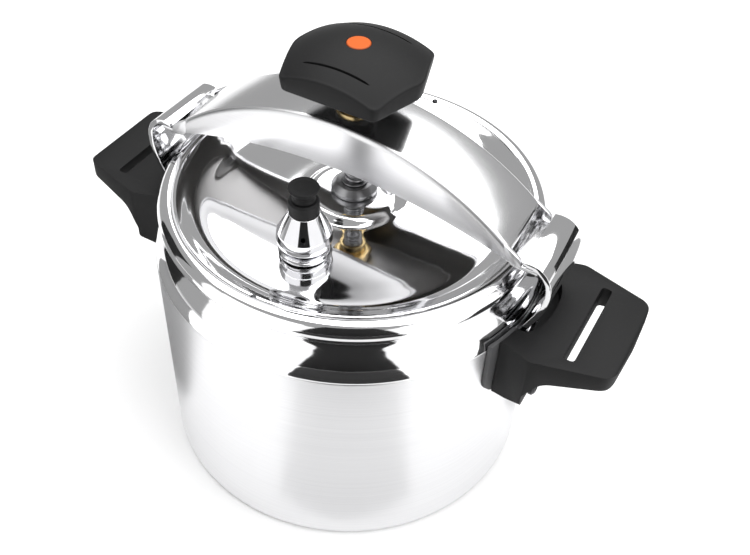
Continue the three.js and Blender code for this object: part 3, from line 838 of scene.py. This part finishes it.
def buildTongue():
    # The flat tongue that catches under a hook.
    upper = flowing([(97, 196.6), (99.4, 195.5), (100.9, 193.6), (101.7, 190.6), (102.6, 187.4), (104.6, 185.6),
                     (107.5, 185.3), (112, 185.35), (117, 185.3)], 6)
    lower = flowing([(117, 182.9), (112, 182.9), (106.6, 182.9), (102.8, 183.6), (100.6, 186), (99.4, 190),
                     (98.4, 192.6), (96.6, 193.8)], 6)
    strap = prism("tongue", upper + lower, "y", -19.6, 19.6)
    softenEdges(strap, 0.5, 2, 50.0, 40.0)
    return strap


def buildBridge():
    rightEnd = buildFlangeEnds() + [buildTongue()]
    leftEnd = [halfTurn(part, "leftPart") for part in rightEnd]
    channel = buildChannel()
    carve(channel, [rod("tool", 8.8, (0, 0, 215), (0, 0, 240), 48)])
    softenEdges(channel, 0.45, 2, 55.0, 35.0)
    piece = joinPieces("bridgeArch", [channel] + rightEnd + leftEnd)
    shadeSmooth(piece.data, 35.0)
    return keepPiece(piece, "bridge", "bridge", "brushed_aluminium", "bridge")


buildBridge()
print("bridge formed")


screw = {"core": 4.9, "crest": 4.95, "wire": 1.05, "pitch": 3.0, "bottom": 178.3, "threadBottom": 184.0,
         "threadTop": 233.6, "top": 254.0, "neck": 4.2, "neckZ": (181.9, 183)}


def hexNut(name, centre, radius, bore, bottom, top):
    # A nut with its corners turned down at both faces.
    outline = [(centre[0] + x, centre[1] + y) for x, y in circle(radius, 6, math.pi / 6)]
    nut = prism(name, outline, "z", bottom, top)
    flat = radius * math.cos(math.pi / 6)
    shape = turned("tool", [(0, bottom), (flat, bottom), (radius + 0.1, bottom + 1), (radius + 0.1, top - 1),
                            (flat, top), (0, top)], 64, centre)
    carve(nut, [shape], "INTERSECT")
    carve(nut, [rod("tool", bore, (*centre, bottom - 2), (*centre, top + 2), 40)])
    softenEdges(nut, 0.25, 2, 50.0, 35.0)
    return nut


def buildScrewParts():
    bush = softCorners([(6.3, 212, 0.4), (8.4, 212, 0.5), (8.4, 231.5), (10.6, 231.5, 0.3), (10.6, 233.6, 0.6),
                        (9.6, 234.2, 0.3), (6.3, 234.2, 0.4)], 4)
    keepPiece(turned("threadedBush", bush, 64), "brass", "bridge", "brass", "bridge_bush")
    keepPiece(hexNut("bushNut", (0, 0), 13.0, 8.8, 220, 227), "brass", "bridge", "brass", "bridge_bush_nut")
    foot = softCorners([(0, 175.5), (12.2, 175.5, 0.6), (13, 176.4, 0.6), (13, 178.4, 0.8), (10, 181.6, 0.8),
                        (5.1, 181.6, 0.3), (5.1, 178), (0, 178)], 5)
    keepPiece(turned("pressureFoot", foot, 72), "steel", "foot", "zinced_steel", "spindle_foot")
    clip = softCorners([(a, z, 0.2) for a, z in ((4.5, 182), (7.4, 182), (7.4, 182.9), (4.5, 182.9))], 3)
    keepPiece(turned("footClip", clip, 48), "steel", "screw", "zinced_steel", "spindle_foot_clip")


buildScrewParts()


def newTree(name, inputs):
    # A geometry tree with a geometry output and named inputs of the given kinds.
    tree = bpy.data.node_groups.new(name, "GeometryNodeTree")
    tree.interface.new_socket("Geometry", in_out="OUTPUT", socket_type="NodeSocketGeometry")
    for label, kind, value in inputs:
        socket = tree.interface.new_socket(label, in_out="INPUT", socket_type=kind)
        if value is not None:
            socket.default_value = value
    return tree, tree.nodes.new("NodeGroupInput"), tree.nodes.new("NodeGroupOutput")


def addNode(tree, kind, links):
    # A node whose inputs take other nodes' outputs or plain values.
    node = tree.nodes.new(kind)
    for key, value in links.items():
        if isinstance(value, bpy.types.NodeSocket):
            tree.links.new(value, node.inputs[key])
        else:
            node.inputs[key].default_value = value
    return node


def finishTree(tree, group, output, geometry):
    # Every tree ends in real geometry with its material.
    real = addNode(tree, "GeometryNodeRealizeInstances", {"Geometry": geometry})
    painted = addNode(tree, "GeometryNodeSetMaterial", {
        "Geometry": real.outputs[0], "Material": group.outputs["Material"]})
    tree.links.new(painted.outputs[0], output.inputs[0])
    return tree


def runTree(name, tree, values):
    # Run a tree on an empty mesh and keep the result as a plain mesh.
    host = addObject(name, bpy.data.meshes.new(name))
    step = host.modifiers.new("build", "NODES")
    step.node_group = tree
    for item in tree.interface.items_tree:
        if item.item_type == "SOCKET" and item.in_out == "INPUT" and item.name in values:
            step[item.identifier] = values[item.name]
    applyModifiers(host)
    return host


def coilTree():
    # A round section swept along a helix about the Z axis.
    tree, group, output = newTree("coil", [
        ("Turns", "NodeSocketFloat", 5.0), ("Radius", "NodeSocketFloat", 0.004),
        ("Height", "NodeSocketFloat", 0.018), ("Wire", "NodeSocketFloat", 0.0007),
        ("Sides", "NodeSocketInt", 8), ("Place", "NodeSocketVector", None),
        ("Material", "NodeSocketMaterial", None)])
    helix = addNode(tree, "GeometryNodeCurveSpiral", {
        "Resolution": 40, "Rotations": group.outputs["Turns"], "Start Radius": group.outputs["Radius"],
        "End Radius": group.outputs["Radius"], "Height": group.outputs["Height"]})
    section = addNode(tree, "GeometryNodeCurvePrimitiveCircle", {
        "Resolution": group.outputs["Sides"], "Radius": group.outputs["Wire"]})
    swept = addNode(tree, "GeometryNodeCurveToMesh", {
        "Curve": helix.outputs[0], "Profile Curve": section.outputs[0], "Fill Caps": True})
    moved = addNode(tree, "GeometryNodeTransform", {
        "Geometry": swept.outputs[0], "Translation": group.outputs["Place"]})
    return finishTree(tree, group, output, moved.outputs[0])


coil = coilTree()


def buildSpindle():
    # A plain core with a round-crested thread wound on it.
    r, neck, (low, high) = screw["core"], screw["neck"], screw["neckZ"]
    core = softCorners([(0, screw["bottom"]), (r, screw["bottom"], 0.6), (r, low), (neck, low), (neck, high),
                        (r, high), (r, screw["top"], 0.5), (0, screw["top"])], 4)
    body = turned("spindleCore", core, 48)
    height = screw["threadTop"] - screw["threadBottom"]
    thread = runTree("thread", coil, {
        "Turns": height / screw["pitch"], "Radius": screw["crest"] * milli, "Height": height * milli,
        "Wire": screw["wire"] * milli, "Sides": 8, "Place": (0.0, 0.0, screw["threadBottom"] * milli),
        "Material": looks["steel"]})
    piece = joinPieces("spindleRod", [body, thread])
    shadeSmooth(piece.data, 50.0)
    keepPiece(piece, "steel", "screw", "zinced_steel", "spindle")


buildSpindle()
print("screw cut")


knob = {"topZ": 268.0, "bottomZ": 248.0, "cornerX": 27.5, "cornerY": 32.0, "pointX": 37.5, "dome": 71.0,
        "lip": 1.3, "sheet": 4.0, "steps": 26, "grooveY": 22.0, "grooveReach": 19.0, "grooveHalf": 0.65,
        "grooveDepth": 1.4, "pinZ": 243}


def knobOutline():
    # A rounded lozenge with two long, gently bowed sides, in short steps.
    x, y, p = knob["cornerX"], knob["cornerY"], knob["pointX"]
    corners = [(p, 0, 16), (x, y, 6), (0, y, 90), (-x, y, 6), (-p, 0, 16), (-x, -y, 6), (0, -y, 90), (x, -y, 6)]
    dense = softCorners(corners, 10)
    fine = []
    for i, here in enumerate(dense):
        ahead = dense[(i + 1) % len(dense)]
        parts = max(1, int(math.dist(here, ahead) / 1.6))
        fine += [(here[0] + (ahead[0] - here[0]) * k / parts, here[1] + (ahead[1] - here[1]) * k / parts)
                 for k in range(parts)]
    return [p for i, p in enumerate(fine) if math.dist(p, fine[i - 1]) > 0.05]


def domeZ(x, y, drop=0.0):
    # The height of the domed top, or of a surface below it.
    radius = knob["dome"] - drop
    return knob["topZ"] - knob["dome"] + math.sqrt(max(radius * radius - x * x - y * y, 0.0))


def inset(outline, amount):
    # The outline moved inwards.
    result = []
    count = len(outline)
    for i in range(count):
        before, after = Vector(outline[i - 1]), Vector(outline[(i + 1) % count])
        along = (after - before).normalized()
        here = Vector(outline[i])
        result.append((here.x - along.y * amount, here.y + along.x * amount))
    return result


def grooveTool(y):
    # Cuts a long thin groove that follows the dome.
    wide, half, depth = knob["grooveReach"], knob["grooveHalf"], knob["grooveDepth"]
    there = [(-1, wide * (2 * i / 24 - 1)) for i in range(25)]
    back = [(1, wide * (1 - 2 * i / 24)) for i in range(1, 24)]
    lens = [(x, y + side * half * (1 - (x / wide) ** 8) ** 0.5) for side, x in there + back]
    low = [(a, b, domeZ(a, y) - depth) for a, b in lens]
    return makePiece("tool", low + [(a, b, knob["topZ"] + 3) for a, b in lens], sleeve(len(lens)))


def knobShell():
    # Rows of points from the middle of the dome, over the lip, down the side and back up inside.
    outline = knobOutline()
    count = len(outline)
    rows = []
    lip, base, sheet = knob["lip"], knob["bottomZ"], knob["sheet"]
    inner = inset(outline, lip)
    for k in range(1, knob["steps"] + 1):
        f = k / knob["steps"]
        rows.append([(x * f, y * f, domeZ(x * f, y * f)) for x, y in inner])
    for k in range(1, 6):
        t = math.pi / 2 * k / 5
        edge = inset(outline, lip * (1 - math.sin(t)))
        rows.append([(x, y, domeZ(u, v) - lip * (1 - math.cos(t))) for (x, y), (u, v) in zip(edge, inner)])
    for z, amount in ((0.5, 0.35), (1.0, 0.9)):
        edge = inset(outline, amount)
        rows.append([(x, y, domeZ(u, v) * (1 - z) + (base + 1.0) * z - lip * (1 - z))
                     for (x, y), (u, v) in zip(edge, inner)])
    for k in range(1, 4):
        t = math.pi / 2 * k / 3
        edge = inset(outline, 0.9 + 1.0 * (1 - math.cos(t)))
        rows.append([(x, y, base + 1.0 - math.sin(t)) for x, y in edge])
    for amount, z in ((3.4, 0.0), (4.2, 0.6)):
        rows.append([(x, y, base + z) for x, y in inset(outline, amount)])
    cavity = inset(outline, 4.6)
    rows.append([(x, y, domeZ(x, y, sheet) - 0.8) for x, y in cavity])
    for f in (0.9, 0.75, 0.6, 0.45):
        rows.append([(x * f, y * f, domeZ(x * f, y * f, sheet)) for x, y in cavity])
    points = [(0, 0, knob["topZ"])] + [p for row in rows for p in row]
    faces = [(0, 1 + i, 1 + (i + 1) % count) for i in range(count)]
    for r in range(len(rows) - 1):
        a, b = 1 + r * count, 1 + (r + 1) * count
        faces += [(a + i, b + i, b + (i + 1) % count, a + (i + 1) % count) for i in range(count)]
    last = 1 + (len(rows) - 1) * count
    points.append((0, 0, domeZ(0, 0, sheet)))
    faces += [(last + i, len(points) - 1, last + (i + 1) % count) for i in range(count)]
    return makePiece("knobShell", points, faces, 40.0)


def buildKnob():
    piece = knobShell()
    dent = rod("tool", 6.5, (0, 0, knob["topZ"] - 1.5), (0, 0, knob["topZ"] + 3), 64)
    carve(piece, [dent] + [grooveTool(side * knob["grooveY"]) for side in (-1, 1)])
    boss = turned("knobBoss", softCorners([
        (10.9, 248.5, 0.5), (13.4, 248.5, 0.6), (13.4, 264), (0, 264), (0, 257), (10.9, 257)], 4), 64)
    whole = joinPieces("knobShell", [piece, boss])
    shadeSmooth(whole.data, 32.0)
    keepPiece(whole, "black", "screw", "black_phenolic", "knob_body")
    badge = softCorners([(0, 266.6), (6.25, 266.6), (6.25, 267.85, 0.35), (5.6, 267.95, 0.3), (0, 267.98)], 4)
    keepPiece(turned("knobBadge", badge, 72), "orange", "screw", "orange_badge", "knob_badge")
    height = knob["pinZ"]
    hub = softCorners([(0, 256.7), (10.6, 256.7, 0.5), (10.6, 238, 1.5), (9.6, 234.8, 0.8), (5.2, 234.8, 0.3),
                       (5.2, 254.4), (0, 254.4)], 4)
    stem = turned("knobHub", hub, 64)
    carve(stem, [rod("tool", 2.1, (3, 0, height), (14, 0, height), 24)])
    shadeSmooth(stem.data, 35.0)
    keepPiece(stem, "black", "screw", "black_phenolic", "knob_hub")
    pin = rod("knobPin", 1.8, (5.1, 0, height), (9.6, 0, height), 24)
    carve(pin, [prism("tool", [(a, height + b) for a, b in circle(0.9, 6)], "x", 7.6, 12)])
    softenEdges(pin, 0.15, 2, 50.0)
    keepPiece(pin, "steel", "screw", "zinced_steel", "knob_pin")


buildKnob()
print("knob moulded")


valve = {"offset": 52.0, "seatZ": 169.7, "sides": 96, "portTurns": (-60.9, 59.1, 179.1), "portZ": 187.5,
         "portReach": 12.85}


def buildWorkingValve():
    # Stem in the lid, loose weight with its cap and collar, and the needle inside.
    at, seat, sides = (0.0, -valve["offset"]), valve["seatZ"], valve["sides"]
    stem = softCorners([(1.5, 155), (5.8, 155, 0.5), (5.8, seat), (13.4, seat, 0.4), (14.2, seat + 1.5, 0.9),
                        (13.4, seat + 3.5, 1.2), (7, seat + 4.1, 0.8), (5, seat + 5.5, 1), (5, 190, 0.4),
                        (1.5, 190, 0.3)], 5)
    keepPiece(turned("valveStem", stem, sides, at), "chrome", "lid", "chrome", "valve_stem")
    weight = softCorners([(0, 191.3), (7.4, 191.3), (7.4, 174.4, 0.4), (11.6, 174.4, 2.2), (14.3, 176.8, 2.2),
                          (15, 180.3, 3.5), (14.5, 184.2, 3), (8.3, 196.4, 0.4), (0, 196.4)], 7)
    body = turned("valveWeight", weight, sides, at)
    ports = [rod("tool", 2.9, (*at, 185), (*at, 200))]
    for turn in valve["portTurns"]:
        way = Vector((math.cos(math.radians(turn)), math.sin(math.radians(turn)), 0.0))
        tilt = Vector((way.x, way.y, 0.5)).normalized()
        spot = Vector((*at, valve["portZ"])) + way * valve["portReach"]
        ports.append(rod("tool", 1.15, spot - way * 8, spot + way * 8, 32))
        ports.append(rod("tool", 2.0, spot - tilt * 0.35, spot + tilt * 6, 40))
    carve(body, ports)
    shadeSmooth(body.data, 30.0)
    keepPiece(body, "chrome", "weight", "chrome", "valve_weight")
    collar = softCorners([(2.9, 196.7), (7.8, 196.7, 0.3), (8.05, 197.6, 0.4), (8.05, 203.8, 0.8),
                          (7.2, 204.6, 0.3), (2.9, 204.6)], 5)
    keepPiece(turned("valveCollar", collar, sides, at), "black", "weight", "black_phenolic", "valve_collar")
    cap = softCorners([(0, 201), (2.5, 201), (2.5, 204.9), (6.3, 204.9, 0.3), (5.6, 207.2, 1.4),
                       (7.2, 210.4, 1.6), (8.25, 211.8, 0.4), (7.9, 212.7, 0.6), (5, 212.9, 2), (0, 212.6)], 6)
    keepPiece(turned("valveCap", cap, sides, at), "black", "weight", "black_phenolic", "valve_cap")
    needle = softCorners([(0, 186.6), (1, 188.4, 0.2), (1, 190.4), (2.6, 192, 0.3), (2.6, 200.6),
                          (0, 200.6)], 4)
    keepPiece(turned("valveNeedle", needle, 32, at), "steel", "needle", "zinced_steel", "valve_needle")


def flatWasher(name, at, node):
    ring = softCorners([(6.2, 163.2, 0.3), (11, 163.2, 0.4), (11, 165.2, 0.4), (6.2, 165.2, 0.3)], 3)
    keepPiece(turned(name, ring, 48, at), "silicone", "lid", "silicone_washer", node)


def buildSafetyValve():
    # A hollow body and its cap in the lid, and a pin held down by the spring.
    at, seat, sides = (0.0, valve["offset"]), valve["seatZ"], valve["sides"]
    shell = softCorners([(2.4, 155), (5.8, 155, 0.5), (5.8, seat), (13, seat, 0.4), (13, seat + 4.2, 0.8),
                         (10.4, seat + 5.2, 0.6), (9.6, seat + 6, 0.8), (9.6, 204, 0.4), (6.2, 204, 0.3),
                         (6.2, 178), (2.4, 176)], 5)
    keepPiece(turned("safetyBody", shell, sides, at), "chrome", "lid", "chrome", "safety_body")
    cap = softCorners([(2.2, 201.6), (5.8, 201.6), (5.8, 204.4), (10, 204.4, 0.3), (10, 209.6, 1.4),
                       (8, 211.6, 1), (2.2, 211.6, 0.3)], 5)
    keepPiece(turned("safetyCap", cap, sides, at), "chrome", "lid", "chrome", "safety_cap")
    pin = softCorners([(0, 174.5), (1.8, 176, 0.3), (5.8, 179, 0.4), (5.8, 182, 0.3), (1.8, 182.2),
                       (1.8, 214, 0.6), (0, 215)], 4)
    keepPiece(turned("safetyPin", pin, 48, at), "steel", "safety_pin_body", "zinced_steel", "safety_pin")
    spring = runTree("safetySpring", coil, {
        "Turns": 5.0, "Radius": 0.004, "Height": 0.0168, "Wire": 0.0007, "Sides": 10,
        "Place": (0.0, at[1] * milli, 0.1834), "Material": looks["steel"]})
    shadeSmooth(spring.data, 60.0)
    keepPiece(spring, "steel", "lid", "zinced_steel", "safety_spring")
    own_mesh(spring)


buildWorkingValve()
buildSafetyValve()
for word, side in (("valve_stem", -1), ("safety", 1)):
    spot = (0.0, side * valve["offset"])
    flatWasher(word + "Washer", spot, word + "_washer")
    nut = hexNut(word + "Nut", spot, 10.0, 6.2, 158, 162.9)
    keepPiece(nut, "steel", "lid", "zinced_steel", word + "_nut")
print("valves turned")


fixings = {"rivetY": 10.0, "rivetZ": (118.0, 132.0), "screwY": 26.0, "screwZ": 111.0}


def scatterTree():
    # One model fixing copied to every point of a mesh.
    tree, group, output = newTree("fixingRow", [
        ("Points", "NodeSocketObject", None), ("Fixing", "NodeSocketObject", None),
        ("Material", "NodeSocketMaterial", None)])
    spots = addNode(tree, "GeometryNodeObjectInfo", {"Object": group.outputs["Points"]})
    model = addNode(tree, "GeometryNodeObjectInfo", {"Object": group.outputs["Fixing"]})
    copies = addNode(tree, "GeometryNodeInstanceOnPoints", {
        "Points": spots.outputs["Geometry"], "Instance": model.outputs["Geometry"]})
    return finishTree(tree, group, output, copies.outputs[0])


def fixingModel(name, profile):
    # A lathe-turned fixing laid along X.
    model = turned(name, profile, 32)
    model.data.transform(Matrix.Rotation(math.pi / 2, 4, "Y"))
    return model


def buildFixings():
    # Four rivets and two screws a side.
    tree = scatterTree()
    rivet = fixingModel("rivetModel", softCorners([
        (0, 106.4), (2.6, 106.5, 1.5), (4.4, 107.6, 1), (4.4, 108.6, 0.3), (2.3, 108.6), (2.3, 116.6),
        (4.4, 116.6, 0.2), (4.4, 117.2, 0.5), (2.8, 118.2, 1.5), (0, 118.2)], 5))
    bolt = fixingModel("screwModel", softCorners([
        (0, 111.1), (2.2, 111.1, 0.5), (2.2, 128.3), (5, 128.3, 0.3), (5, 130.4, 0.8), (3.4, 131.6, 1),
        (2.2, 131.6, 0.2), (1.8, 130.2), (0, 130.2)], 5))
    rows = (
        ("rivet", rivet, "rivet", "rivet_aluminium", "hook_rivet",
         [(0, side * fixings["rivetY"], z) for side in (-1, 1) for z in fixings["rivetZ"]]),
        ("screw", bolt, "blackSteel", "blackened_screw", "handle_screw",
         [(0, side * fixings["screwY"], fixings["screwZ"]) for side in (-1, 1)]),
    )
    for kind, model, look, slot, node, places in rows:
        mesh = bpy.data.meshes.new("spots")
        mesh.from_pydata([Vector(p) * milli for p in places], [], [])
        spots = addObject("spots", mesh)
        right = runTree(kind + "RowRight", tree, {"Points": spots, "Fixing": model, "Material": looks[look]})
        shadeSmooth(right.data, 40.0)
        left = halfTurn(right, kind + "RowLeft")
        for side, row in (("right", right), ("left", left)):
            names = [f"{node}_{side}_{i + 1}" for i in range(len(places))]
            keepPiece(row, look, "pot", slot, *names)
        bpy.data.objects.remove(spots)
        bpy.data.objects.remove(model)


buildFixings()
print("fixings set")
